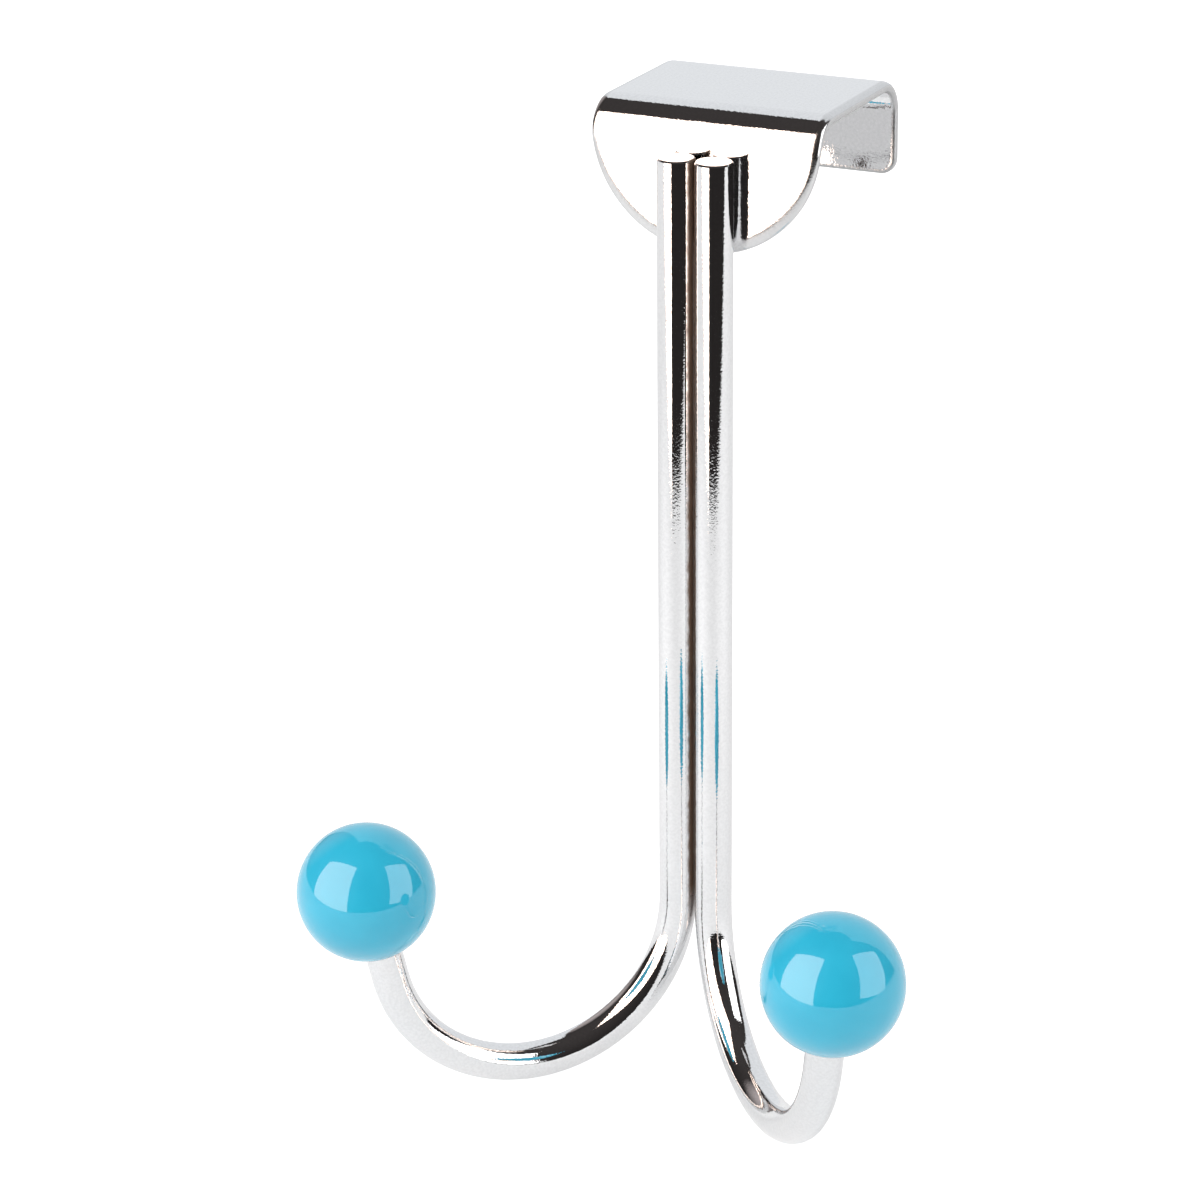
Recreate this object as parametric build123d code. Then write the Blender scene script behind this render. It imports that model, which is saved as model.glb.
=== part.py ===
"""Double coat hook that hangs over the top edge of a door.

A chrome-plated steel strip is folded over the door. Two chrome-plated round
rods are welded side by side to its front apron. Each rod ends in a hook that
carries a glossy ball.

Sizes are in millimetres. The origin is the centre of the seat, the flat
underside of the strip that lies on the door's top edge. +Z is up, -Y is the
front, where the hooks hang, and X runs along the door.
"""

import os
from math import cos, hypot, radians, sin

from build123d import *

# The door that the strip is folded for.
door_thickness = 35.0

# The folded strip.
strip_width = 44.0
strip_thickness = 2.0
bend_inner_radius = 5.0
# Tumbling rounds the door side's edges. The punch rolls the outer skin's edges over, down to a narrow land.
door_side_edge_radius = 0.6
edge_land = 0.05
# From the seat down to the centre of the apron's half-round end.
apron_arc_drop = 2.2
# From the seat down to the lower edge of the short flange behind the door.
flange_drop = 16.5
flange_corner_radius = 3.0

# The two bent rods.
rod_diameter = 7.0
rod_gap = 0.3
rod_end_chamfer = 0.3
# From the end of the strip's front bend down to the rods' flat-cut tops.
rod_top_drop = 1.0
# How far each rod is pressed flat where it is welded to the apron.
weld_flat_depth = 0.2
# Straight length from a rod's top to the start of its hook.
stem_length = 143.0
# The hook's bend on the rod's centre line, and how far it turns in degrees.
hook_radius = 29.0
hook_turn = 167.0
# The hook's direction, in degrees forward from the face of the door.
hook_splay = 46.5
# Straight rod between the end of the bend and the ball.
tip_length = 5.75

# The balls on the rods' ends.
ball_diameter = 25.5
ball_bore_depth = 16.0
ball_bore_clearance = 0.05
ball_mouth_chamfer = 0.4

# Places that follow from the sizes above.
rolled_edge_radius = strip_thickness - door_side_edge_radius - edge_land
apron_front = -(door_thickness / 2 + strip_thickness)
flange_back = door_thickness / 2 + strip_thickness
apron_arc_radius = strip_width / 2
apron_bottom = -(apron_arc_drop + apron_arc_radius)
rod_radius = rod_diameter / 2
rod_offset = rod_radius + rod_gap / 2
rod_axis_y = apron_front - rod_radius + weld_flat_depth
rod_top = -(bend_inner_radius + rod_top_drop)


def sharp_edges(solid):
    """Edges where two faces meet at an angle, without the smooth seams at bends and corners."""
    found = []
    for edge in solid.edges():
        middle = edge @ 0.5
        normals = [
            face.normal_at(middle)
            for face in solid.faces()
            if any(edge.is_same(side) for side in face.edges())
        ]
        if len(normals) == 2 and normals[0].get_angle(normals[1]) > 10:
            found.append(edge)
    return found


def on_outer_skin(edge):
    """True for an edge on the strip's outer skin, False for one on the door side."""
    middle = edge @ 0.5
    across = max(abs(middle.Y) - door_thickness / 2 + bend_inner_radius, 0)
    above = max(middle.Z + bend_inner_radius, 0)
    return hypot(across, above) > bend_inner_radius + strip_thickness / 2


def make_door_bracket():
    """One strip folded to a U, with a half-round apron in front and a short flange behind."""
    door_side = FilletPolyline(
        (-door_thickness / 2, apron_bottom),
        (-door_thickness / 2, 0),
        (door_thickness / 2, 0),
        (door_thickness / 2, -flange_drop),
        radius=bend_inner_radius,
    )
    section = make_face(offset(door_side, strip_thickness, side=Side.LEFT, closed=True))
    fold = extrude(Plane.YZ * section, strip_width / 2, both=True)

    # The apron's outline as seen from the front: a half disc as wide as the strip.
    apron_arc = Pos(0, -apron_arc_drop) * Circle(apron_arc_radius)
    apron_sides = Rectangle(strip_width, apron_arc_drop + strip_thickness, align=(Align.CENTER, Align.MIN))
    apron_outline = apron_arc + Pos(0, -apron_arc_drop) * apron_sides
    front_half = extrude(Plane.XZ * apron_outline, -apron_front)

    # The rear flange's outline: straight sides and rounded lower corners.
    flange_height = flange_drop + strip_thickness
    flange_sheet = Pos(0, -flange_drop) * Rectangle(
        strip_width, flange_height, align=(Align.CENTER, Align.MIN)
    )
    low_corners = flange_sheet.vertices().group_by(Axis.Y)[0]
    flange_outline = fillet(low_corners, flange_corner_radius)
    rear_half = extrude(Plane.XZ * flange_outline, -flange_back)

    trimmed = fold & (front_half + rear_half)
    rolled = fillet([edge for edge in sharp_edges(trimmed) if on_outer_skin(edge)], rolled_edge_radius)
    return fillet([edge for edge in sharp_edges(rolled) if not on_outer_skin(edge)], door_side_edge_radius)


def rod_path(side):
    """Centre line of a rod: straight down, round the hook's bend, then straight into the ball."""
    outward = (side * cos(radians(hook_splay)), -sin(radians(hook_splay)), 0)
    across = Vector(outward).cross(Vector(0, 0, 1))
    hook_plane = Plane(origin=(side * rod_offset, rod_axis_y, 0), x_dir=outward, z_dir=across)
    stem = Line((0, rod_top), (0, rod_top - stem_length))
    bend = JernArc(stem @ 1, stem % 1, hook_radius, hook_turn)
    tip = Line(bend @ 1, bend @ 1 + (bend % 1) * (tip_length + ball_bore_depth))
    return hook_plane * Wire([stem, bend, tip])


def make_hook_rod(side):
    """Round rod bent to a hook, with a narrow flat where it is welded to the apron."""
    path = rod_path(side)
    start = Plane(origin=path @ 0, z_dir=path % 0)
    bar = sweep(start * Circle(rod_radius), path=path)
    ends = [bar.faces().sort_by_distance(path @ 0)[0], bar.faces().sort_by_distance(path @ 1)[0]]
    bar = chamfer([edge for end in ends for edge in end.edges()], rod_end_chamfer)
    weld_flat = Pos(side * rod_offset, apron_front, apron_bottom) * Box(
        rod_diameter,
        rod_diameter,
        rod_top - apron_bottom,
        align=(Align.CENTER, Align.MIN, Align.MIN),
    )
    return bar - weld_flat


def make_ball(side):
    """Ball with a blind bore that is pushed over the rod until its end meets the bore's floor."""
    path = rod_path(side)
    bore_floor = Plane(origin=path @ 1, z_dir=path % 1)
    ball_radius = ball_diameter / 2
    bore = Cylinder(
        rod_radius + ball_bore_clearance,
        ball_bore_depth,
        align=(Align.CENTER, Align.CENTER, Align.MAX),
    )
    ball = Pos(0, 0, ball_radius - ball_bore_depth) * Sphere(ball_radius) - bore
    mouth = ball.edges().filter_by(GeomType.CIRCLE).sort_by(Axis.Z)[0]
    return bore_floor * chamfer(mouth, ball_mouth_chamfer)


left, right = -1, 1
nodes = {
    "door_bracket": make_door_bracket(),
    "left_hook_rod": make_hook_rod(left),
    "right_hook_rod": make_hook_rod(right),
    "left_ball": make_ball(left),
    "right_ball": make_ball(right),
}

os.makedirs("parts", exist_ok=True)
for name, solid in nodes.items():
    export_step(solid, f"parts/{name}.step")
    print(name, "volume", round(solid.volume, 1), "mm3")
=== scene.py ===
# %% [markdown]
# # A double coat hook for the top of a door
# The real thing is five pieces: a chrome-plated strip folded over the door, two chrome-plated rods
# welded to the strip's front, and a glossy turquoise ball on the end of each rod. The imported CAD
# model gives their places and sizes. This lesson rebuilds every surface smoothly enough to be a
# mirror, gives it its finish, and lights it the way a product photographer lights chrome.

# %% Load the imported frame
from math import acos, cos, pi, radians, sin

import bmesh
import bpy
from mathutils import Matrix, Vector


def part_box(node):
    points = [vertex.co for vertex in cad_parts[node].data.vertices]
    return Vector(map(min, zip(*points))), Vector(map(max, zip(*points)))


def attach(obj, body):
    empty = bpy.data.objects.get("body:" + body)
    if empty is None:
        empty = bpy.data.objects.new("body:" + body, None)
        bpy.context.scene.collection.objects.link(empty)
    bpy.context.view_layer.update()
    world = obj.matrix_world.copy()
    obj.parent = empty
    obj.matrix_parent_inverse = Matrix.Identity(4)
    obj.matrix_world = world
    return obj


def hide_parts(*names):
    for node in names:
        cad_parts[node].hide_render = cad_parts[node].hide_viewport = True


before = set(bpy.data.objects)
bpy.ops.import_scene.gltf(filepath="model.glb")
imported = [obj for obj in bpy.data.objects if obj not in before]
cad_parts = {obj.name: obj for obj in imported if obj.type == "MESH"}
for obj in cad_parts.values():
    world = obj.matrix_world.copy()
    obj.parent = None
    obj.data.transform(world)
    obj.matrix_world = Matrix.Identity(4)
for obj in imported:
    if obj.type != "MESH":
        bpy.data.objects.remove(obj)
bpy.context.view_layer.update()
MM = 0.001
print("CAD nodes:", sorted(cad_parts))

# %% [markdown]
# ## Helpers for nodes and colours
# Materials and Geometry Nodes trees are both graphs of nodes. They could be drawn by hand in the editor,
# but a script can be read, changed and run again. A single helper adds a node, sets its options, fills its
# sockets with numbers and links the sockets that take another node's output. Colours are written as sRGB
# hex values, the way a paint chart gives them, and turned to the linear values that a renderer works in. Two
# of the finishes below are mottled between two tones, so that pattern is a function too.

# %% Node and colour helpers
def add_node(tree, kind, inputs=(), **options):
    """Add one node; inputs pairs a socket's name or number with a value or with another socket."""
    node = tree.nodes.new(kind)
    for option, value in options.items():
        setattr(node, option, value)
    for socket, value in dict(inputs).items():
        if isinstance(value, bpy.types.NodeSocket):
            tree.links.new(value, node.inputs[socket])
        else:
            node.inputs[socket].default_value = value
    return node


def linear(hex_colour):
    """Linear RGBA of an sRGB hex colour such as #1FB0D4."""
    channels = [int(hex_colour[i:i + 2], 16) / 255 for i in (1, 3, 5)]
    return (*[c / 12.92 if c <= 0.04045 else ((c + 0.055) / 1.055) ** 2.4 for c in channels], 1.0)


def new_material(name):
    """A new material with nodes."""
    material = bpy.data.materials.new(name)
    material.use_nodes = True
    return material


def surface_parts(material):
    """A material's tree, its shader, and the place on the object in metres for patterns."""
    tree = material.node_tree
    place = add_node(tree, "ShaderNodeTexCoord").outputs["Object"]
    return tree, tree.nodes["Principled BSDF"], place


def two_tones(tree, place, size, tones):
    """Colour of a noise pattern of the given size; tones pairs two noise values with their colours."""
    noise = add_node(tree, "ShaderNodeTexNoise", {"Vector": place, "Scale": 1 / size, "Detail": 2.0})
    ramp = add_node(tree, "ShaderNodeValToRGB", {"Fac": noise.outputs["Fac"]})
    for element, (position, tone) in zip(ramp.color_ramp.elements, tones.items()):
        element.position = position
        element.color = linear(tone)
    return ramp.outputs["Color"]


print("white is", linear("#FFFFFF"))

# %% [markdown]
# ## Chrome plate
# Decorative chrome is a thin bright metal over polished nickel and steel. It is nearly colourless and so
# smooth that it shows only what stands around it. A plain mirror would be the quickest way to make it, but
# it would look like glass. What tells the eye that this is plated metal is small: fine mottling, patches
# that polishing left blurrier than others, slow waves because the steel below was never quite flat, and a
# fine orange peel in the plate, which frays the edges of dark reflections. So each of these gets a noise
# pattern of its own, with its size in millimetres.

# %% Chrome-plated steel
spot_size = 0.5 * MM
patch_size = 6 * MM
wave_length = 9 * MM
# 0.4 mm is two pixels: a finer peel would not show in the render.
peel_size, peel_depth = 0.4 * MM, 0.011 * MM
plate_tones = {0.35: "#E0E0E1", 0.65: "#E7E7E8"}
smoothest, bluntest = 0.02, 0.06
# Nearly all values of a noise pattern lie between these two.
noise_low, noise_high = 0.3, 0.7


def chrome_plated_steel(name, wave_depth):
    """Mirror chrome over steel that has waves of the given depth."""
    material = new_material(name)
    tree, shader, place = surface_parts(material)
    shader.inputs["Metallic"].default_value = 1.0
    # The bath leaves the plate a shade darker in spots.
    tree.links.new(two_tones(tree, place, spot_size, plate_tones), shader.inputs["Base Color"])
    # The buffing wheel pressed harder on some patches than on others.
    patches = add_node(tree, "ShaderNodeTexNoise", {"Vector": place, "Scale": 1 / patch_size, "Detail": 3.0})
    buffed = add_node(tree, "ShaderNodeMapRange", {
        "Value": patches.outputs["Fac"], "From Min": noise_low, "From Max": noise_high,
        "To Min": smoothest, "To Max": bluntest,
    })
    tree.links.new(buffed.outputs["Result"], shader.inputs["Roughness"])
    # The waves in the steel come first, and the peel of the plate lies on them.
    normal = None
    for length, depth in ((wave_length, wave_depth), (peel_size, peel_depth)):
        noise = add_node(tree, "ShaderNodeTexNoise", {"Vector": place, "Scale": 1 / length, "Detail": 1.0})
        relief = add_node(tree, "ShaderNodeBump", {"Height": noise.outputs["Fac"], "Distance": depth})
        if normal:
            tree.links.new(normal, relief.inputs["Normal"])
        normal = relief.outputs["Normal"]
    tree.links.new(normal, shader.inputs["Normal"])
    return material


def feed(shader, socket):
    """The output that feeds one of the shader's sockets, for a finish that changes it further."""
    return shader.inputs[socket].links[0].from_socket


print("chrome with", peel_size / MM, "mm peel on", wave_length / MM, "mm waves")

# %% [markdown]
# ## Finishing a piece
# Every piece ends the same way: it is a plain mesh at the origin, it rides on the one rigid body of the part
# and it hides the CAD node that it stands for. Five copies of those lines would do it too, but one function
# keeps them the same.

# %% Hand a finished mesh to the frame
def add_object(name, data):
    """Add an object to the scene for a mesh, a light or a camera."""
    added = bpy.data.objects.new(name, data)
    bpy.context.collection.objects.link(added)
    return added


def finish_piece(name, mesh, node):
    """Put a finished mesh into the scene in place of its CAD node."""
    piece = add_object(name, mesh)
    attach(piece, "root")
    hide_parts(node)
    print(name, len(mesh.vertices), "vertices", len(mesh.polygons), "faces")
    return piece


print("pieces to replace:", len(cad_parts))

# %% [markdown]
# ## Running a Geometry Nodes tree
# Two kinds of piece follow a rule here: the strip is folded and the rods are swept. Their points could be
# worked out one by one, but a tree shows the rule and keeps its sizes as named inputs. It runs as a
# modifier, its result is taken as a plain mesh, and the modifier goes.

# %% Make, end and run a tree
def new_tree(name, sizes):
    """An empty Geometry Nodes tree with a named input for each size; returns it and its input sockets."""
    tree = bpy.data.node_groups.new(name, "GeometryNodeTree")
    tree.interface.new_socket("Geometry", in_out="INPUT", socket_type="NodeSocketGeometry")
    for size in sizes:
        tree.interface.new_socket(size, in_out="INPUT", socket_type="NodeSocketFloat")
    tree.interface.new_socket("Geometry", in_out="OUTPUT", socket_type="NodeSocketGeometry")
    return tree, add_node(tree, "NodeGroupInput").outputs


def end_tree(tree, geometry, material):
    """End a tree with its instances made real and its material set."""
    real = add_node(tree, "GeometryNodeRealizeInstances", {"Geometry": geometry})
    plating = {"Geometry": real.outputs[0], "Material": material}
    plated = add_node(tree, "GeometryNodeSetMaterial", plating)
    add_node(tree, "NodeGroupOutput", {"Geometry": plated.outputs[0]})


def run_tree(name, mesh, tree, sizes):
    """Run a Geometry Nodes tree on a mesh with the named sizes and return the plain result."""
    carrier = add_object(name, mesh)
    modifier = carrier.modifiers.new("shape", "NODES")
    modifier.node_group = tree
    for socket in tree.interface.items_tree:
        if socket.in_out == "INPUT" and socket.name in sizes:
            modifier[socket.identifier] = sizes[socket.name]
    evaluated = carrier.evaluated_get(bpy.context.evaluated_depsgraph_get())
    result = bpy.data.meshes.new_from_object(evaluated)
    carrier.modifiers.remove(modifier)
    bpy.data.objects.remove(carrier)
    result.name = name
    return result


print("made new_tree, end_tree and run_tree")

# %% [markdown]
# ## The strip's sizes
# The strip is one length of sheet steel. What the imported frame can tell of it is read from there: its width,
# thickness, depth and drop. The maker's tools gave it the rest, such as the bend radius and the way the
# punched edge is drawn over, and those are written once here.

# %% Strip sizes in metres
strip_low, strip_high = (Vector(corner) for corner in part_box("door_bracket"))
strip_width = strip_high.x - strip_low.x
strip_thickness = strip_high.z
door_thickness = strip_high.y - strip_low.y - 2 * strip_thickness
apron_drop = -strip_low.z
apron_radius = strip_width / 2
flange_drop = 16.5 * MM
flange_corner_radius = 3.0 * MM
bend_radius = 5.0 * MM
door_side_edge_radius = 0.6 * MM
outer_edge_width, outer_edge_depth = 1.6 * MM, 0.8 * MM
print("strip", [round(size / MM, 2) for size in (strip_width, strip_thickness, door_thickness)], "mm")

# %% [markdown]
# ## The strip's finish
# The strip is chrome-plated sheet. A punch shears its edges and then tears the last of the steel, and no
# wheel reaches them afterwards. So the edges stay a little darker and duller than the faces, and most of
# all where they are torn. A second material could show that, but the change is gradual. The mesh will
# carry two attributes instead, raw and torn, and one material mixes by them.

# %% Chrome with dull punched edges
tear_size, tear_depth = 0.6 * MM, 0.12 * MM
raw_shade, torn_shade = 0.16, 0.3
raw_blur, torn_blur = 0.12, 0.2


def dull_punched_edges(material):
    """Darken and blur chrome where the mesh says that it is raw, and roughen it where it is torn."""
    tree, shader, place = surface_parts(material)
    raw = add_node(tree, "ShaderNodeAttribute", attribute_name="raw").outputs["Fac"]
    torn = add_node(tree, "ShaderNodeAttribute", attribute_name="torn").outputs["Fac"]
    marks = add_node(tree, "ShaderNodeTexNoise", {"Vector": place, "Scale": 1 / tear_size, "Detail": 3.0})
    relief = add_node(tree, "ShaderNodeBump", {
        "Height": marks.outputs["Fac"], "Strength": torn, "Distance": tear_depth,
        "Normal": feed(shader, "Normal"),
    })
    tree.links.new(relief.outputs["Normal"], shader.inputs["Normal"])
    shade, blur = 0.0, feed(shader, "Roughness")
    for where, darker, duller in ((raw, raw_shade, raw_blur), (torn, torn_shade, torn_blur)):
        shades = {0: where, 1: darker, 2: shade}
        shade = add_node(tree, "ShaderNodeMath", shades, operation="MULTIPLY_ADD").outputs[0]
        blurs = {0: where, 1: duller, 2: blur}
        blur = add_node(tree, "ShaderNodeMath", blurs, operation="MULTIPLY_ADD").outputs[0]
    # Sockets 6 and 7 are the Mix node's two colours, and its output 2 is the mixed one.
    colours = {0: shade, 6: feed(shader, "Base Color"), 7: linear("#000000")}
    dull = add_node(tree, "ShaderNodeMix", colours, data_type="RGBA")
    tree.links.new(dull.outputs[2], shader.inputs["Base Color"])
    tree.links.new(blur, shader.inputs["Roughness"])


strip_chrome = chrome_plated_steel("chrome-plated steel strip", wave_depth=0.025 * MM)
dull_punched_edges(strip_chrome)
print("made", strip_chrome.name)

# %% [markdown]
# ## The flat blank of the strip
# The real strip is punched flat: straight sides, a half-round end in front and two rounded corners
# behind. The punch draws the edges of the outer skin over, and tumbling rounds those of the door side. A
# boolean cut with a bevel would do for a dull piece, but a mirror shows every dent that they leave. So one
# outline is walked from the front tip to the rear corner and mirrored. Copies of it, moved in by small
# steps, make the rounded rim, and straight strips from the left side to the right side make the two flat
# skins. Their edges lie along the bends to come, so nothing twists when it is folded.

# %% Outline of the blank
top_half = door_thickness / 2 - bend_radius
bend_run = bend_radius * pi / 2
front_end = -(top_half + bend_run + apron_drop - bend_radius)
rear_end = top_half + bend_run + flange_drop - bend_radius
apron_centre = front_end + apron_radius
# An extra row of points this far from a bend or a rim keeps the flat beside it flat.
rim_support = 0.4 * MM
bend_steps, arc_steps, corner_steps = 30, 60, 16


def blank_stations():
    """Right half of the outline: (corner x, corner s, angle, radius) for each point, tip first."""
    front_bend = -(top_half + bend_run)
    arc_end = acos((apron_centre - front_bend) / apron_radius)
    angles = [arc_end * i / arc_steps for i in range(arc_steps + 1)]
    bend_lines = [front_bend + bend_run * i / bend_steps for i in range(1, bend_steps + 1)]
    angles += [acos((apron_centre - s) / apron_radius) for s in bend_lines if s < apron_centre]
    stations = [(0.0, apron_centre, angle, apron_radius) for angle in angles + [pi / 2]]
    rear_bend = [top_half + bend_run * i / bend_steps for i in range(bend_steps + 1)]
    straight = [s for s in bend_lines if s > apron_centre]
    straight += [rim_support - top_half, 0.0, top_half - rim_support, *rear_bend]
    straight += [rear_bend[-1] + rim_support]
    stations += [(apron_radius, s, pi / 2, 0.0) for s in straight]
    corner_x = apron_radius - flange_corner_radius
    corner_s = rear_end - flange_corner_radius
    turns = [pi / 2 + pi / 2 * i / corner_steps for i in range(corner_steps + 1)]
    stations += [(corner_x, corner_s, turn, flange_corner_radius) for turn in turns]
    return stations


outline = blank_stations()
print("half outline of", len(outline), "points,", round((rear_end - front_end) / MM, 1), "mm long")

# %% [markdown]
# The rim's section is a small quarter circle on the door side and a wider, shallower quarter ellipse on the
# outer skin. Along the low part of the half-round end the ellipse is wider still, as the reflections there
# show. A Bevel modifier could come close, but a section that is written as pairs of inset and height can
# have any shape.

# %% Section of the rim
door_side_steps, outer_steps = 8, 14
# The edge is widest up to the first of these angles from the tip and has its usual width from the second.
widest_angle, usual_angle = radians(40), radians(80)
extra_width = 0.5


def quarter(width, depth, steps):
    """Quarter ellipse from the flat skin to the edge, as (inset, depth below the skin)."""
    turns = [pi / 2 * i / steps for i in range(steps + 1)]
    return [(width - width * sin(turn), depth - depth * cos(turn)) for turn in turns]


def rim_levels():
    """How far in and how high each copy of the outline lies, from the door side to the outside."""
    low = quarter(door_side_edge_radius, door_side_edge_radius, door_side_steps)
    rolled = quarter(outer_edge_width, outer_edge_depth, outer_steps)
    high = [(inset, strip_thickness - depth) for inset, depth in reversed(rolled)]
    inner, outer = door_side_edge_radius + rim_support, outer_edge_width + rim_support
    return [(inner, 0.0), *low, *high, (outer, strip_thickness)]


def roll_over(angle, radius):
    """How much wider than usual the punch draws the outer edge over at this angle from the tip."""
    if radius < apron_radius:
        return 1.0
    share = min(max((usual_angle - angle) / (usual_angle - widest_angle), 0.0), 1.0)
    return 1 + extra_width * share * share * (3 - 2 * share)


levels = rim_levels()
print("rim of", len(levels), "levels,", roll_over(0.0, apron_radius), "times as wide at the tip")

# %% [markdown]
# Each point of the rim also says how raw and how torn its metal is, for the finish above. Painting such a
# mask by hand would work, but here the place on the rim already tells it.

# %% Raw and torn metal
torn_height = 0.7 * strip_thickness
# How steeply the raw edge goes over into the buffed skin.
raw_slope = 3


def raw_share(inset, height):
    """1 on the punched edge, which no wheel buffs, falling to 0 on the flat skins."""
    width = door_side_edge_radius if height <= door_side_edge_radius else outer_edge_width
    return min(max(raw_slope * (1 - inset / width), 0.0), 1.0)


def torn_share(inset, height):
    """How far the punch tore the edge here instead of shearing it: most on the door side."""
    if inset > door_side_edge_radius:
        return 0.0
    return max(0.0, 1 - height / torn_height)


print("edge torn up to", round(torn_height / MM, 2), "mm of", round(strip_thickness / MM, 2), "mm")

# %% [markdown]
# Now the blank itself: one loop of points for each level, faces between neighbouring loops, and strips from
# side to side that close the two flat skins. One large face for a skin would be less work, but it could not
# be folded.

# %% Punch the blank
def rim_loop(inset, height):
    """One copy of the whole outline at a level of the rim."""
    right = []
    for x, s, angle, radius in outline:
        spread = roll_over(angle, radius) if height > door_side_edge_radius else 1.0
        reach = radius - inset * spread
        right.append(Vector((x + reach * sin(angle), s - reach * cos(angle), height)))
    left = [Vector((-point.x, point.y, point.z)) for point in reversed(right[1:])]
    return right + left


def punched_blank():
    """The flat blank as a mesh with its raw and torn attributes."""
    blank = bmesh.new()
    torn = blank.verts.layers.float.new("torn")
    raw = blank.verts.layers.float.new("raw")
    loops = []
    for inset, height in levels:
        loops.append([blank.verts.new(point) for point in rim_loop(inset, height)])
        for corner in loops[-1]:
            corner[torn] = torn_share(inset, height)
            corner[raw] = raw_share(inset, height)
    count = len(loops[0])
    for inner, outer in zip(loops, loops[1:]):
        for i in range(count):
            j = (i + 1) % count
            blank.faces.new((inner[i], inner[j], outer[j], outer[i]))
    for loop, order in ((loops[0], -1), (loops[-1], 1)):
        for i in range(len(outline) - 1):
            ring = [loop[i], loop[i + 1], loop[count - i - 1]]
            if i:
                ring.append(loop[count - i])
            blank.faces.new(ring[::order])
    bmesh.ops.recalc_face_normals(blank, faces=blank.faces)
    mesh = bpy.data.meshes.new("strip blank")
    blank.to_mesh(mesh)
    blank.free()
    return mesh


blank_mesh = punched_blank()
print("blank of", len(blank_mesh.vertices), "points")

# %% [markdown]
# ## Folding the strip
# A press folds the blank over two round-nosed tools. A Simple Deform modifier could bend one end, but folding
# is a rule, so a Geometry Nodes tree does it to every point: the distance from the middle says how much of
# the point's way is flat, how much of it is wound round the tool, and how much is left to hang straight
# down. The same rule folds the front and the rear, and changing the door's thickness moves both bends.

# %% Fold it over the door
def fold_tree():
    """Geometry Nodes tree that folds a flat blank over a door."""
    tree, size = new_tree("fold over a door", ["Door Thickness", "Bend Radius"])
    radius = size["Bend Radius"]
    place = add_node(tree, "GeometryNodeInputPosition").outputs["Position"]
    point = add_node(tree, "ShaderNodeSeparateXYZ", {"Vector": place}).outputs
    door = size["Door Thickness"]
    half_door = add_node(tree, "ShaderNodeMath", {0: door, 1: 0.5}, operation="MULTIPLY").outputs[0]
    half = add_node(tree, "ShaderNodeMath", {0: half_door, 1: radius}, operation="SUBTRACT").outputs[0]
    way = add_node(tree, "ShaderNodeMath", {0: point["Y"]}, operation="ABSOLUTE").outputs[0]
    side = add_node(tree, "ShaderNodeMath", {0: point["Y"]}, operation="SIGN").outputs[0]
    # The flat part of the way, then the turn round the tool, then what hangs down below the bend.
    flat = add_node(tree, "ShaderNodeMath", {0: way, 1: half}, operation="MINIMUM").outputs[0]
    rest = add_node(tree, "ShaderNodeMath", {0: way, 1: flat}, operation="SUBTRACT").outputs[0]
    wound = add_node(tree, "ShaderNodeMath", {0: rest, 1: radius}, operation="DIVIDE").outputs[0]
    turn = add_node(tree, "ShaderNodeMath", {0: wound, 1: pi / 2}, operation="MINIMUM").outputs[0]
    left_over = add_node(tree, "ShaderNodeMath", {0: wound, 1: turn}, operation="SUBTRACT").outputs[0]
    hang = add_node(tree, "ShaderNodeMath", {0: left_over, 1: radius}, operation="MULTIPLY").outputs[0]
    drop = add_node(tree, "ShaderNodeMath", {0: radius, 1: hang}, operation="ADD").outputs[0]
    # The point keeps its height over the door side, so the outer skin swings round a larger circle.
    reach = add_node(tree, "ShaderNodeMath", {0: radius, 1: point["Z"]}, operation="ADD").outputs[0]
    sine = add_node(tree, "ShaderNodeMath", {0: turn}, operation="SINE").outputs[0]
    cosine = add_node(tree, "ShaderNodeMath", {0: turn}, operation="COSINE").outputs[0]
    swing = add_node(tree, "ShaderNodeMath", {0: reach, 1: sine}, operation="MULTIPLY").outputs[0]
    out = add_node(tree, "ShaderNodeMath", {0: flat, 1: swing}, operation="ADD").outputs[0]
    across = add_node(tree, "ShaderNodeMath", {0: out, 1: side}, operation="MULTIPLY").outputs[0]
    rise = add_node(tree, "ShaderNodeMath", {0: reach, 1: cosine}, operation="MULTIPLY").outputs[0]
    height = add_node(tree, "ShaderNodeMath", {0: rise, 1: drop}, operation="SUBTRACT").outputs[0]
    folded = add_node(tree, "ShaderNodeCombineXYZ", {"X": point["X"], "Y": across, "Z": height})
    places = {"Geometry": size["Geometry"], "Position": folded.outputs[0]}
    moved = add_node(tree, "GeometryNodeSetPosition", places)
    smooth = add_node(tree, "GeometryNodeSetShadeSmooth", {"Geometry": moved.outputs[0]})
    end_tree(tree, smooth.outputs[0], strip_chrome)
    return tree


folded_strip = run_tree(
    "folded_strip", blank_mesh, fold_tree(), {"Door Thickness": door_thickness, "Bend Radius": bend_radius}
)
finish_piece("folded_strip", folded_strip, "door_bracket")

# %% [markdown]
# ## The rods' sizes
# The hooks are two lengths of round rod, mirrored left and right. The frame tells where the rods start and
# how low the hooks hang. The rod's own diameter and the former it was bent round are written here.

# %% Rod sizes in metres
sides = {"left": -1, "right": 1}
rod_low, rod_high = (Vector(corner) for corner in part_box("right_hook_rod"))
rod_diameter = 7.0 * MM
rod_end_chamfer = 0.3 * MM
rod_offset = rod_low.x + rod_diameter / 2
rod_axis_y = rod_high.y - rod_diameter / 2
rod_top = rod_high.z
hook_radius = 29.0 * MM
hook_turn = radians(167.0)
hook_splay = radians(46.5)
hook_start = rod_low.z + rod_diameter / 2 + hook_radius
tip_length = 5.75 * MM
ball_bore_depth = 16.0 * MM
print("straight rod", round((rod_top - hook_start) / MM, 1), "mm")
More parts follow.
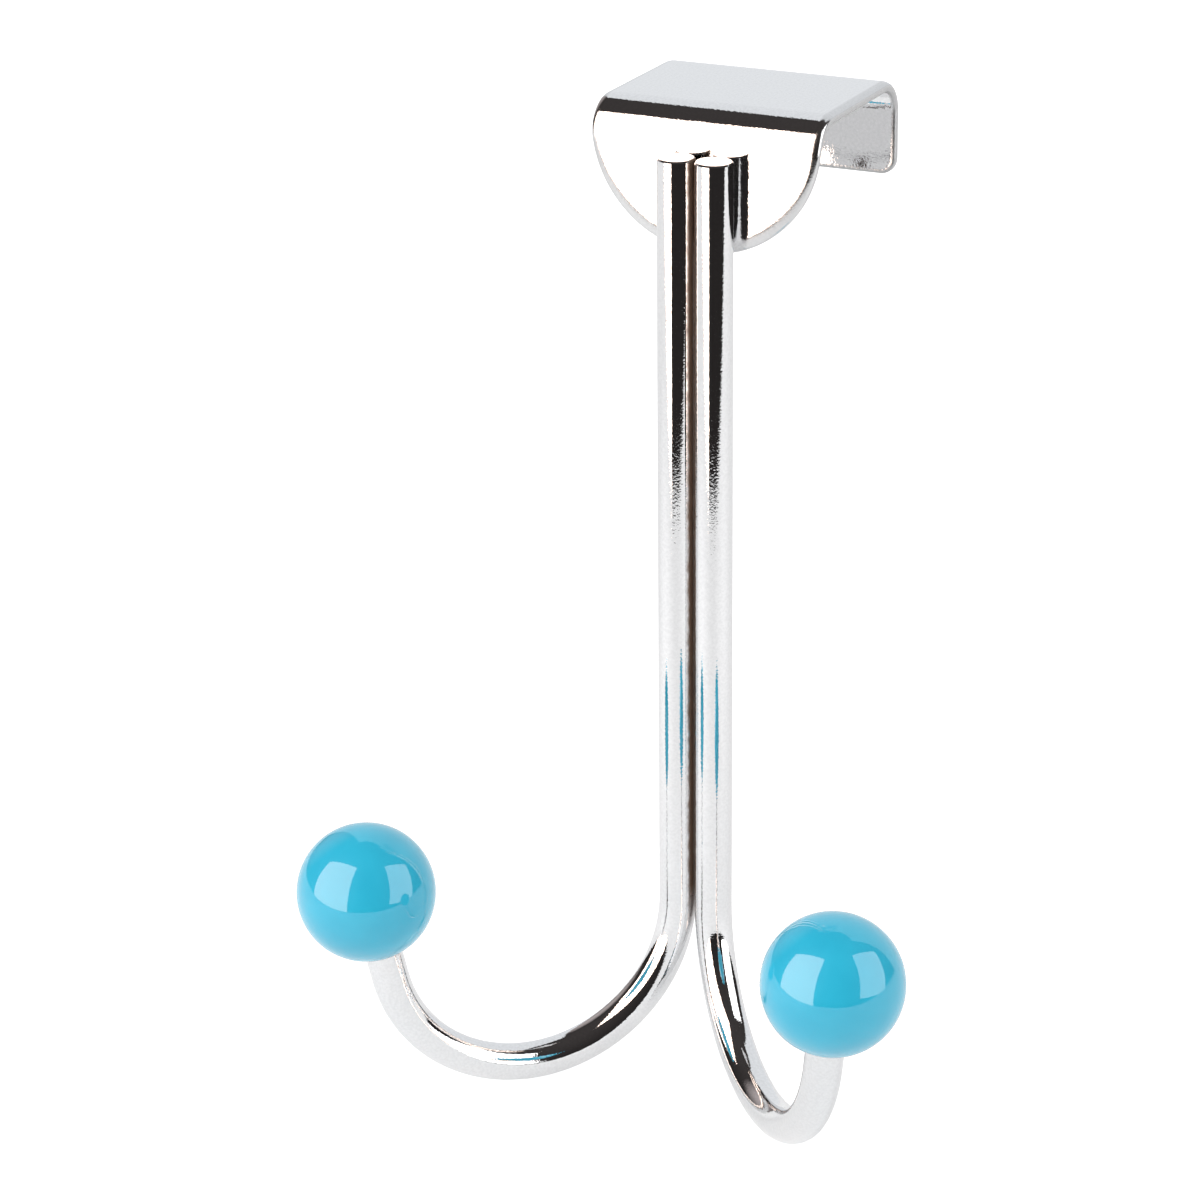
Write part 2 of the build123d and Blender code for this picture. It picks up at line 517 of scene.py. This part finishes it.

# %% [markdown]
# ## The rods' finish
# The rods are plated together, side by side. In the narrow gap between them light bounces from rod to rod and
# dies away, and that shade is painted into the chrome: it turns brown, darker and duller close to the gap. A
# separate brown piece in the gap would have a hard edge, so the chrome itself carries the painted shade, with
# a ragged border. The brown lies a little more on the left rod, and it ends where the hooks part.

# %% Chrome with painted shade in the crevice
crevice_middle = -0.3 * MM
crevice_core, crevice_edge = 0.4 * MM, 0.85 * MM
ragged_size, ragged_depth = 2 * MM, 0.5 * MM
parting_low, parting_high = -156 * MM, -146 * MM
crevice_blur, crevice_metallic_drop = 0.3, 0.6


def crevice_painted_shade(material):
    """Paint shade into chrome close to the gap between the two rods: brown, darker and duller."""
    tree, shader, place = surface_parts(material)
    point = add_node(tree, "ShaderNodeSeparateXYZ", {"Vector": place}).outputs
    ragged = add_node(tree, "ShaderNodeTexNoise", {"Vector": place, "Scale": 1 / ragged_size, "Detail": 2.0})
    aside = add_node(tree, "ShaderNodeMath", {0: point["X"], 1: -crevice_middle}, operation="ADD").outputs[0]
    aside = add_node(tree, "ShaderNodeMath", {0: aside}, operation="ABSOLUTE").outputs[0]
    border = {0: ragged.outputs["Fac"], 1: ragged_depth, 2: aside}
    aside = add_node(tree, "ShaderNodeMath", border, operation="MULTIPLY_ADD").outputs[0]
    fade = {"Value": aside, "From Min": crevice_core, "From Max": crevice_edge, "To Min": 1.0, "To Max": 0.0}
    near = add_node(tree, "ShaderNodeMapRange", fade, interpolation_type="SMOOTHSTEP").outputs["Result"]
    parting = {"Value": point["Z"], "From Min": parting_low, "From Max": parting_high}
    together = add_node(tree, "ShaderNodeMapRange", parting).outputs["Result"]
    # The brown, darker and duller chrome near the gap is painted shade, where light dies away between the
    # rods.
    painted_shade = add_node(tree, "ShaderNodeMath", {0: near, 1: together}, operation="MULTIPLY").outputs[0]
    # Sockets 6 and 7 are the Mix node's two colours, and its output 2 is the mixed one.
    colours = {0: painted_shade, 6: feed(shader, "Base Color"), 7: linear("#6A584B")}
    brown = add_node(tree, "ShaderNodeMix", colours, data_type="RGBA")
    tree.links.new(brown.outputs[2], shader.inputs["Base Color"])
    metals = {0: painted_shade, 1: -crevice_metallic_drop, 2: 1.0}
    metal = add_node(tree, "ShaderNodeMath", metals, operation="MULTIPLY_ADD").outputs[0]
    tree.links.new(metal, shader.inputs["Metallic"])
    blurs = {0: painted_shade, 1: crevice_blur, 2: feed(shader, "Roughness")}
    blur = add_node(tree, "ShaderNodeMath", blurs, operation="MULTIPLY_ADD").outputs[0]
    tree.links.new(blur, shader.inputs["Roughness"])


rod_chrome = chrome_plated_steel("chrome-plated steel rod", wave_depth=0.015 * MM)
crevice_painted_shade(rod_chrome)
print("made", rod_chrome.name)

# %% [markdown]
# ## The line of a rod
# Each rod is cut square at the top with the burr taken off, bent once round a former and left straight at
# the tip, where the ball goes on. A Bezier curve could follow it by eye, but a line of points follows it
# exactly. Only the bend needs many of them, because a straight needs just its ends. Each point also says
# what share of the full radius the rod has there, which makes the narrower, chamfered ends.

# %% Lay out the rods
hook_steps = 120
# A point this far from the bend keeps the straight beside it straight.
bend_support = 2 * MM
# The weld's flat ends in this short step.
weld_step = 0.02 * MM


def outward(side):
    """Level direction in which a hook leaves its rod; side is -1 for left and 1 for right."""
    return Vector((side * cos(hook_splay), -sin(hook_splay), 0))


def bend_point(side, turn):
    """Place on the centre line of the hook's bend after turning so far."""
    foot = Vector((side * rod_offset, rod_axis_y, hook_start))
    return foot + outward(side) * hook_radius * (1 - cos(turn)) - Vector((0, 0, hook_radius * sin(turn)))


def tip_direction(side):
    """Direction that the straight tip takes into the ball."""
    return outward(side) * sin(hook_turn) - Vector((0, 0, cos(hook_turn)))


def rod_line(side):
    """Points along the rod's centre line, each with the share of the full radius that it has there."""
    narrow = 1 - rod_end_chamfer / (rod_diameter / 2)
    weld_end = strip_low.z
    heights = [rod_top, rod_top - rod_end_chamfer, weld_end + weld_step, weld_end, hook_start + bend_support]
    points = [Vector((side * rod_offset, rod_axis_y, height)) for height in heights]
    points += [bend_point(side, hook_turn * i / hook_steps) for i in range(hook_steps + 1)]
    run = tip_length + ball_bore_depth
    begin, ahead = bend_point(side, hook_turn), tip_direction(side)
    points += [begin + ahead * distance for distance in (bend_support, run - rod_end_chamfer, run)]
    shares = [narrow] + [1.0] * (len(points) - 2) + [narrow]
    return points, shares


def line_mesh(name, points, shares):
    """A mesh of one line, with the share of the radius on each point."""
    mesh = bpy.data.meshes.new(name)
    mesh.from_pydata(points, [(i, i + 1) for i in range(len(points) - 1)], [])
    share = mesh.attributes.new("share", "FLOAT", "POINT")
    share.data.foreach_set("value", shares)
    return mesh


rod_lines = {name: line_mesh(f"{name} rod line", *rod_line(side)) for name, side in sides.items()}
print("rod lines of", [len(line.vertices) for line in rod_lines.values()], "points")

# %% [markdown]
# ## The bent rods
# A rod follows its line, so a Geometry Nodes tree sweeps a circle along it. A curve object with a bevel
# would do the same, but the rods need one thing more: where they are welded to the apron they are pressed
# flat by a hair, so the tree also pushes those points forward to the face of the apron. Edges sharper than
# 30 degrees, such as the rims of the cut ends, stay crisp.

# %% Sweep the rods
ring_points = 96
crisp_angle = radians(30)


def rod_tree():
    """Geometry Nodes tree that sweeps a rod along its line and presses the weld's flat."""
    tree, size = new_tree("bent rod", ["Rod Diameter", "Apron Front", "Apron Bottom"])
    line = add_node(tree, "GeometryNodeMeshToCurve", {"Mesh": size["Geometry"]})
    diameter = size["Rod Diameter"]
    radius = add_node(tree, "ShaderNodeMath", {0: diameter, 1: 0.5}, operation="MULTIPLY").outputs[0]
    ring = add_node(tree, "GeometryNodeCurvePrimitiveCircle", {"Resolution": ring_points, "Radius": radius})
    share = add_node(tree, "GeometryNodeInputNamedAttribute", {"Name": "share"}, data_type="FLOAT")
    swept = add_node(tree, "GeometryNodeCurveToMesh", {
        "Curve": line.outputs[0], "Profile Curve": ring.outputs[0], "Scale": share.outputs[0],
        "Fill Caps": True,
    })
    place = add_node(tree, "GeometryNodeInputPosition").outputs["Position"]
    point = add_node(tree, "ShaderNodeSeparateXYZ", {"Vector": place}).outputs
    front, bottom = size["Apron Front"], size["Apron Bottom"]
    face = add_node(tree, "ShaderNodeMath", {0: point["Y"], 1: front}, operation="MINIMUM").outputs[0]
    pressed = add_node(tree, "ShaderNodeCombineXYZ", {"X": point["X"], "Y": face, "Z": point["Z"]})
    on_apron = add_node(tree, "ShaderNodeMath", {0: point["Z"], 1: bottom}, operation="GREATER_THAN")
    welded = add_node(tree, "GeometryNodeSetPosition", {
        "Geometry": swept.outputs[0], "Selection": on_apron.outputs[0], "Position": pressed.outputs[0],
    })
    smooth = add_node(tree, "GeometryNodeSetShadeSmooth", {"Geometry": welded.outputs[0]})
    angle = add_node(tree, "GeometryNodeInputMeshEdgeAngle").outputs["Unsigned Angle"]
    sharp = add_node(tree, "ShaderNodeMath", {0: angle, 1: crisp_angle}, operation="GREATER_THAN").outputs[0]
    edges = {"Geometry": smooth.outputs[0], "Selection": sharp, "Shade Smooth": False}
    crisp = add_node(tree, "GeometryNodeSetShadeSmooth", edges, domain="EDGE")
    end_tree(tree, crisp.outputs[0], rod_chrome)
    return tree


bent_rod = rod_tree()
rod_sizes = {
    "Rod Diameter": rod_diameter,
    "Apron Front": strip_low.y,
    "Apron Bottom": strip_low.z + weld_step / 2,
}
for name, line in rod_lines.items():
    rod = run_tree(f"{name}_rod", line, bent_rod, rod_sizes)
    finish_piece(f"{name}_rod", rod, f"{name}_hook_rod")

# %% [markdown]
# ## Glossy turquoise
# The balls are moulded in opaque turquoise plastic and finished with a hard clear gloss. The colour sits
# under a sharp, colourless reflection. One shiny layer could give both, but then the base and the gloss
# could not be set apart, so the shader gets a clear coat over a smooth base. Moulded colour is never
# perfectly even: the pigment makes soft clouds a few millimetres wide, only just lighter and darker than
# the main tone.

# %% Turquoise gloss plastic
cloud_size = 7 * MM
pigment_tones = {0.3: "#27B1D2", 0.7: "#2DB8D8"}


def turquoise_gloss_plastic():
    """Moulded turquoise under a clear coat that mirrors the lights."""
    material = new_material("turquoise gloss plastic")
    tree, shader, place = surface_parts(material)
    shader.inputs["Roughness"].default_value = 0.4
    shader.inputs["Specular IOR Level"].default_value = 0.1
    shader.inputs["Coat Weight"].default_value = 1.0
    shader.inputs["Coat Roughness"].default_value = 0.015
    shader.inputs["Coat IOR"].default_value = 1.65
    tree.links.new(two_tones(tree, place, cloud_size, pigment_tones), shader.inputs["Base Color"])
    return material


turquoise = turquoise_gloss_plastic()
print("made", turquoise.name)

# %% [markdown]
# ## The balls
# A ball is a turned shape. A UV sphere with a hole cut in it would have ragged edges at the hole, so the
# half section is drawn once and spun round the line of the rod's tip: the floor and wall of the blind bore,
# the small chamfer at its mouth, then the long arc to the far pole. The ring count is high because the
# gloss shows straight lamp edges, and those bend at every facet.

# %% Section of a ball
ball_diameter = 25.5 * MM
ball_bore_clearance = 0.05 * MM
ball_bore_radius = rod_diameter / 2 + ball_bore_clearance
ball_mouth_chamfer = 0.4 * MM
section_steps, spin_steps = 72, 144


def ball_section():
    """Half section from the bore's floor to the far pole: distance from the axis, height along it."""
    radius = ball_diameter / 2
    centre = radius - ball_bore_depth
    flare = ball_bore_radius + ball_mouth_chamfer
    mouth = centre - (radius ** 2 - flare ** 2) ** 0.5
    start = acos((centre - mouth) / radius)
    arc = [start + (pi - start) * i / section_steps for i in range(section_steps + 1)]
    bore = [(0.0, 0.0), (ball_bore_radius, 0.0), (ball_bore_radius, mouth + ball_mouth_chamfer)]
    return bore + [(radius * sin(turn), centre - radius * cos(turn)) for turn in arc]


half_section = ball_section()
print("half section of", len(half_section), "points")

# %% [markdown]
# Spinning leaves the points on the axis many times over, so the doubles are merged and the faces are turned
# outwards before the ball goes to its seat on the rod's end.

# %% Spin the balls
merge_distance = 0.001 * MM


def spun_ball(name, side):
    """A ball, spun round the rod's tip with the floor of its bore on the rod's end."""
    ahead = tip_direction(side)
    floor = bend_point(side, hook_turn) + ahead * (tip_length + ball_bore_depth)
    seat = Matrix.Translation(floor) @ ahead.to_track_quat("Z", "Y").to_matrix().to_4x4()
    ball = bmesh.new()
    points = [ball.verts.new((distance, 0, height)) for distance, height in half_section]
    edges = [ball.edges.new(pair) for pair in zip(points, points[1:])]
    bmesh.ops.spin(
        ball, geom=points + edges, axis=(0, 0, 1), cent=(0, 0, 0),
        angle=2 * pi, steps=spin_steps, use_merge=True,
    )
    bmesh.ops.remove_doubles(ball, verts=ball.verts, dist=merge_distance)
    bmesh.ops.recalc_face_normals(ball, faces=ball.faces)
    for edge in ball.edges:
        edge.smooth = edge.calc_face_angle(0.0) < crisp_angle
    for face in ball.faces:
        face.smooth = True
    ball.transform(seat)
    mesh = bpy.data.meshes.new(name)
    ball.to_mesh(mesh)
    ball.free()
    mesh.materials.append(turquoise)
    return mesh


for name, side in sides.items():
    finish_piece(f"{name}_ball_skin", spun_ball(f"{name}_ball_skin", side), f"{name}_ball")

# %% [markdown]
# ## The studio
# Chrome has no look of its own: it needs things to reflect. The hook hangs over a white table that ends a
# little before the camera. A large soft light stands to the left of the camera, a smaller one to the right,
# and a pale backdrop rises behind. Everything else in a studio is dark, and that is what draws the dark
# lines down the rods and along the fold. A picture of a room wrapped round the scene could be reflected
# too, but cards can be moved until each reflection sits where it should. They only show in reflections:
# they cast no shadow and the camera never sees them.

# %% Directions and cards
table_height = -187 * MM
studio_middle = Vector((0, -67 * MM, -137 * MM))


def toward(azimuth, elevation, distance):
    """A place seen from between the balls; azimuth is from the front towards +X, in degrees."""
    level = cos(radians(elevation)) * distance
    across = Vector((sin(radians(azimuth)), -cos(radians(azimuth)), 0)) * level
    return studio_middle + across + Vector((0, 0, sin(radians(elevation)) * distance))


def glow(name, colour, strength):
    """A plain shining surface."""
    material = new_material(name)
    tree = material.node_tree
    tree.nodes.clear()
    shine = add_node(tree, "ShaderNodeEmission", {"Color": linear(colour), "Strength": strength})
    add_node(tree, "ShaderNodeOutputMaterial", {"Surface": shine.outputs[0]})
    return material


def stage_card(name, rows, material):
    """A sheet through rows of points, seen only in reflections."""
    mesh = bpy.data.meshes.new(name)
    width = len(rows[0])
    faces = [
        (r * width + c, r * width + c + 1, (r + 1) * width + c + 1, (r + 1) * width + c)
        for r in range(len(rows) - 1) for c in range(width - 1)
    ]
    mesh.from_pydata([point for row in rows for point in row], [], faces)
    mesh.materials.append(material)
    card = add_object(name, mesh)
    card.visible_camera = False
    card.visible_diffuse = False
    card.visible_shadow = False
    return card


print("studio round", [round(value / MM) for value in studio_middle], "mm")

# %% [markdown]
# The room is one large dome in three parts: the dark walls, the dark ceiling over the backdrop and the pale
# backdrop itself. A box of flat walls would do too, but its corners would show in the chrome. The walls are
# not equally dark. They are lighter where the spill of the large light reaches them, and a little towards
# the ceiling, so their strength follows the place on the dome.

# %% Room and backdrop
dome_radius, dome_steps = 6.0, 24
wall_dark, wall_spill, ceiling_extra = 0.025, 0.5, 0.03
# The spill's direction in degrees, and how far along it, in metres, the spill begins and is full.
spill_azimuth, spill_elevation = -122, 22
spill_begins, spill_full = 5.2, 5.9


def dome_part(name, azimuths, elevations, material):
    """A part of the dome between two azimuths and two elevations, in degrees."""
    rows = []
    for r in range(dome_steps + 1):
        elevation = elevations[0] + (elevations[1] - elevations[0]) * r / dome_steps
        rows.append([
            toward(azimuths[0] + (azimuths[1] - azimuths[0]) * c / dome_steps, elevation, dome_radius)
            for c in range(dome_steps + 1)
        ])
    return stage_card(name, rows, material)


def dark_walls():
    """Dark walls, lighter where the large light spills on them and up at the ceiling."""
    material = glow("dark room", "#FFF2F0", wall_dark)
    tree = material.node_tree
    place = add_node(tree, "ShaderNodeTexCoord").outputs["Object"]
    spill_way = toward(spill_azimuth, spill_elevation, 1.0) - studio_middle
    along = add_node(tree, "ShaderNodeVectorMath", {0: place, 1: spill_way}, operation="DOT_PRODUCT")
    spill = add_node(tree, "ShaderNodeMapRange", {
        "Value": along.outputs["Value"], "From Min": spill_begins, "From Max": spill_full,
        "To Min": wall_dark, "To Max": wall_spill,
    })
    height = add_node(tree, "ShaderNodeSeparateXYZ", {"Vector": place}).outputs["Z"]
    ceiling = add_node(tree, "ShaderNodeMapRange", {
        "Value": height, "From Min": 0.0, "From Max": dome_radius, "To Min": 0.0, "To Max": ceiling_extra,
    })
    both = {0: spill.outputs["Result"], 1: ceiling.outputs["Result"]}
    strength = add_node(tree, "ShaderNodeMath", both, operation="ADD").outputs[0]
    tree.links.new(strength, tree.nodes["Emission"].inputs["Strength"])
    return material


dark_room = dark_walls()
pale_paper = glow("pale backdrop paper", "#F2F5F8", strength=1.0)
backdrop_right, backdrop_left, backdrop_top, below = 142.0, 224.0, 63.0, -45.0
dome_part("dark_room_front", (backdrop_left - 360, backdrop_right), (below, 90), dark_room)
dome_part("dark_room_ceiling", (backdrop_right, backdrop_left), (backdrop_top, 90), dark_room)
dome_part("pale_backdrop", (backdrop_right, backdrop_left), (below, backdrop_top), pale_paper)
print("room of", dome_radius, "m radius, backdrop from", backdrop_right, "to", backdrop_left, "degrees")

# %% [markdown]
# The lights' faces are two bright cards, the left one a little warmer. Lamps can show their own faces, but a
# card's brightness in the mirror can be set apart from the light that falls on the hook. Their corners were
# found from where the windows in the balls and the white of the chrome begin and end.

# %% Faces of the two lights
key_corners = [studio_middle + Vector(corner) for corner in (
    (-2.2, -1.0, -0.31), (-0.09, -1.05, -0.31), (-0.05, -1.02, 2.0), (-2.3, -0.62, 2.0),
)]
fill_corners = [toward(64.5, -0.5, 0.9), toward(108, -5, 1.1), toward(131, 33, 1.2), toward(87.5, 58, 0.9)]
key_face = glow("key light face", "#FFE9DA", strength=4.1)
fill_face = glow("fill light face", "#FFFFFF", strength=2.6)
stage_card("key_light_face", [key_corners[:2], key_corners[:1:-1]], key_face)
stage_card("fill_light_face", [fill_corners[:2], fill_corners[:1:-1]], fill_face)
print("key face", round((key_corners[1] - key_corners[0]).length, 2), "m wide")

# %% [markdown]
# ## The table
# The table's front is a blunt corner that points past the camera. The higher a point sits on a rod, the
# further its downward reflection reaches over the table, so the upper rods see past the edge into the dark and
# the lower rods do not. That is why the dark lines taper and fade out half way down. A plain white material
# would be too dull in the rods, because a real table top has a sheen. Here that sheen is painted: the table
# shines weakly for reflections only, with a painted pool of light from each soft light, and it shines for the
# camera, so that no shadow and no horizon show on it.

# %% White table top
# Painted sheen for reflections, and the painted pools of light on the table as x, y and how bright they are in
# the middle.
painted_even_sheen = 0.07
painted_pool_radius = 0.3
painted_pools = ((-0.17, -0.15, 0.25), (0.25, -0.05, 0.15))
# How much the table shines for the camera near the hook and far from it.
near_distance, near_lift = 0.3, 0.5
far_distance, far_lift = 2.0, 0.9


def ray_kinds(tree):
    """Two outputs: 1 for a camera's ray, and 1 for a ray from a mirror or through glass."""
    path = add_node(tree, "ShaderNodeLightPath").outputs
    rays = {0: path["Is Glossy Ray"], 1: path["Is Transmission Ray"]}
    mirrored = add_node(tree, "ShaderNodeMath", rays, operation="MAXIMUM").outputs[0]
    return path["Is Camera Ray"], mirrored


def white_table():
    """White paint with a painted sheen and painted pools of light for reflections, and a lift towards white
    for the camera.
    """
    material = new_material("white table top")
    tree = material.node_tree
    tree.nodes.clear()
    paint = add_node(tree, "ShaderNodeBsdfDiffuse", {"Color": linear("#F2F2F2")})
    filmed, mirrored = ray_kinds(tree)
    place = add_node(tree, "ShaderNodeTexCoord").outputs["Object"]
    away = add_node(tree, "ShaderNodeVectorMath", {0: place}, operation="LENGTH").outputs["Value"]
    lift = add_node(tree, "ShaderNodeMapRange", {
        "Value": away, "From Min": near_distance, "From Max": far_distance,
        "To Min": near_lift, "To Max": far_lift,
    }).outputs["Result"]
    # Painted sheen and pools of light: light that the table shines only into reflections.
    painted_sheen = painted_even_sheen
    for x, y, brightness in painted_pools:
        ends = {0: place, 1: (x, y, table_height)}
        span = add_node(tree, "ShaderNodeVectorMath", ends, operation="DISTANCE").outputs["Value"]
        fade = {"Value": span, "From Min": 0.0, "From Max": painted_pool_radius, "To Min": brightness, "To Max": 0.0}
        pool = add_node(tree, "ShaderNodeMapRange", fade, interpolation_type="SMOOTHSTEP").outputs["Result"]
        painted_sheen = add_node(tree, "ShaderNodeMath", {0: pool, 1: painted_sheen}, operation="ADD").outputs[0]
    for_camera = add_node(tree, "ShaderNodeMath", {0: filmed, 1: lift}, operation="MULTIPLY")
    parts = {0: mirrored, 1: painted_sheen, 2: for_camera.outputs[0]}
    strength = add_node(tree, "ShaderNodeMath", parts, operation="MULTIPLY_ADD").outputs[0]
    shine = add_node(tree, "ShaderNodeEmission", {"Color": linear("#FFFFFF"), "Strength": strength})
    both = add_node(tree, "ShaderNodeAddShader", {0: paint.outputs[0], 1: shine.outputs[0]})
    add_node(tree, "ShaderNodeOutputMaterial", {"Surface": both.outputs[0]})
    return material


table_paint = white_table()
print("made", table_paint.name, "with", len(painted_pools), "pools of light")

# %% [markdown]
# The table top itself is one face. A rectangle has a single front edge, but the dark lines on the rods and
# the one on the apron's right edge ask for two. Both lie equally far from the rods, and each is given by
# the direction in which it lies. They meet in the corner.

# %% The table top
table_reach, table_size = 0.34, 8.0
left_edge_azimuth, right_edge_azimuth = radians(8.0), radians(29.0)
middle_azimuth = (left_edge_azimuth + right_edge_azimuth) / 2
corner_reach = table_reach / cos((right_edge_azimuth - left_edge_azimuth) / 2)
front_corner = Vector((0, rod_axis_y, table_height))
front_corner += Vector((sin(middle_azimuth), -cos(middle_azimuth), 0)) * corner_reach
left_edge = Vector((-cos(left_edge_azimuth), -sin(left_edge_azimuth), 0)) * table_size
right_edge = Vector((cos(right_edge_azimuth), sin(right_edge_azimuth), 0)) * table_size
rear = Vector((0, table_size, 0))
ways = (left_edge, Vector(), right_edge, right_edge + rear, left_edge + rear)
corners = [front_corner + way for way in ways]
table_mesh = bpy.data.meshes.new("table_top")
table_mesh.from_pydata(corners, [], [range(len(corners))])
table_mesh.materials.append(table_paint)
table = add_object("table_top", table_mesh)
print("table at", table_height, "m")

# %% [markdown]
# ## Lights
# The cards above are only seen. What lights the object are two rectangular area lamps, which reflections do
# not see, so each can be set without the other. Point lamps would be simpler, but they draw hard shadows.
# The fill lamp stands where its face is. The key lamp stands higher and twice as far away as its face, so
# that it lights the whole table evenly. A lamp's strength is given as how bright its own face would look,
# and its power follows from its area.

# %% Soft lights
def stand(thing, place, right, up, back):
    """Put a lamp or a camera somewhere, with its own X, Y and Z along the three directions."""
    thing.matrix_world = Matrix.Translation(place) @ Matrix((right, up, back)).transposed().to_4x4()


def soft_light(name, corners, brightness):
    """An area lamp over four corners that faces the middle of the studio."""
    middle = sum(corners, Vector()) / len(corners)
    across = ((corners[1] - corners[0]) + (corners[2] - corners[3])) / 2
    upward = ((corners[3] - corners[0]) + (corners[2] - corners[1])) / 2
    light = bpy.data.lights.new(name, "AREA")
    light.shape = "RECTANGLE"
    light.size, light.size_y = across.length, upward.length
    light.energy = brightness * pi * light.size * light.size_y
    lamp = add_object(name, light)
    # An area lamp shines along its own -Z, so its +Z has to point away from the studio's middle.
    facing = across.cross(upward).normalized()
    if facing.dot(studio_middle - middle) > 0:
        facing.negate()
    right = across.normalized()
    stand(lamp, middle, right, facing.cross(right), facing)
    lamp.visible_camera = False
    lamp.visible_glossy = False
    return lamp


raised = Vector((0, 0, 0.5))
further = 2
key_lamp = [corner + raised for corner in key_corners[:2]] + key_corners[2:]
key_lamp = [studio_middle + (corner - studio_middle) * further for corner in key_lamp]
lamps = [
    soft_light("key_light", key_lamp, brightness=2.1),
    soft_light("fill_light", fill_corners, brightness=0.7),
]
print("lamps of", [round(lamp.data.energy, 1) for lamp in lamps], "W")

# %% [markdown]
# Even light also comes from all round, the way the surfaces of a studio scatter it. More lamps could give it,
# but the world does so at no cost. The camera and the reflections see the world as white. The view stays
# Standard, so a colour renders about as it is written.

# %% World and view
ambient = 0.68
world = bpy.data.worlds.new("even light")
bpy.context.scene.world = world
world.use_nodes = True
tree = world.node_tree
tree.nodes.clear()
filmed, mirrored = ray_kinds(tree)
seen = add_node(tree, "ShaderNodeMath", {0: filmed, 1: mirrored}, operation="MAXIMUM").outputs[0]
parts = {0: seen, 1: 1 - ambient, 2: ambient}
strength = add_node(tree, "ShaderNodeMath", parts, operation="MULTIPLY_ADD").outputs[0]
sky = add_node(tree, "ShaderNodeBackground", {"Color": linear("#FFFFFF"), "Strength": strength})
add_node(tree, "ShaderNodeOutputWorld", {"Surface": sky.outputs[0]})
bpy.context.scene.view_settings.view_transform = "Standard"
print("even light of", ambient)

# %% [markdown]
# ## The camera
# The camera stands in front, to the right and above. It could be set by eye, but a mirror shows a wrong angle
# at once, so its place was found by fitting the outlines of the strip, the rods and the balls. Its lens is
# long, so parallel edges nearly stay parallel.

# %% Place the camera
camera_azimuth, camera_elevation = radians(25.501), radians(20.988)
camera_roll = radians(-0.566)
camera_distance = 749.439 * MM
camera_target = Vector((-20.898 * MM, strip_low.y, strip_thickness - 95.289 * MM))
focal_pixels, image_pixels, sensor = 4025.9, 1200, 36.0

level = cos(camera_elevation)
back = Vector((sin(camera_azimuth) * level, -cos(camera_azimuth) * level, sin(camera_elevation)))
level_right = Vector((cos(camera_azimuth), sin(camera_azimuth), 0))
level_up = back.cross(level_right)
right = level_right * cos(camera_roll) + level_up * sin(camera_roll)
up = level_up * cos(camera_roll) - level_right * sin(camera_roll)
view = bpy.data.cameras.new("camera")
view.sensor_width = sensor
view.lens = focal_pixels / image_pixels * sensor
camera = add_object("camera", view)
stand(camera, camera_target + back * camera_distance, right, up, back)
bpy.context.scene.camera = camera
print("lens", round(view.lens, 1), "mm")

# %% [markdown]
# ## Hand-over to the frame
# The finished pieces should fill the same box as the CAD nodes that they replace. The frame takes over from
# here.

# %% Finish
bpy.context.view_layer.update()
